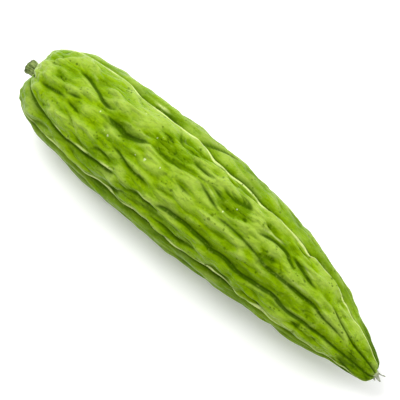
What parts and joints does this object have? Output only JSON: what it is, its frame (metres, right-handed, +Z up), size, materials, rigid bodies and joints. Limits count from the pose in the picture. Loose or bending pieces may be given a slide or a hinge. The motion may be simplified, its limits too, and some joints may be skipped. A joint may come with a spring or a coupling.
{
  "type": "bitter gourd",
  "caption": "Long ribbed bitter gourd lying on its side, with blunt lobed stem end, cut stem, and a tapering bent tip that keeps its dried blossom.",
  "frame": {"origin": "on the table, under the middle of the whole gourd's bounding box", "axes": "+X from the cut stem to the blossom tip, +Z up from the table, and +Y to the left when looking along +X"},
  "size_m": [0.2904, 0.0722, 0.0705],
  "materials": {
    "gourd_skin": "waxy semi-gloss green skin",
    "stem_green": "matt fibrous dark green",
    "dried_petal": "dry papery beige"
  },
  "bodies": {
    "root": {"fruit": "gourd_skin", "stem": "stem_green", "dried_blossom": "dried_petal"}
  },
  "joints": []
}
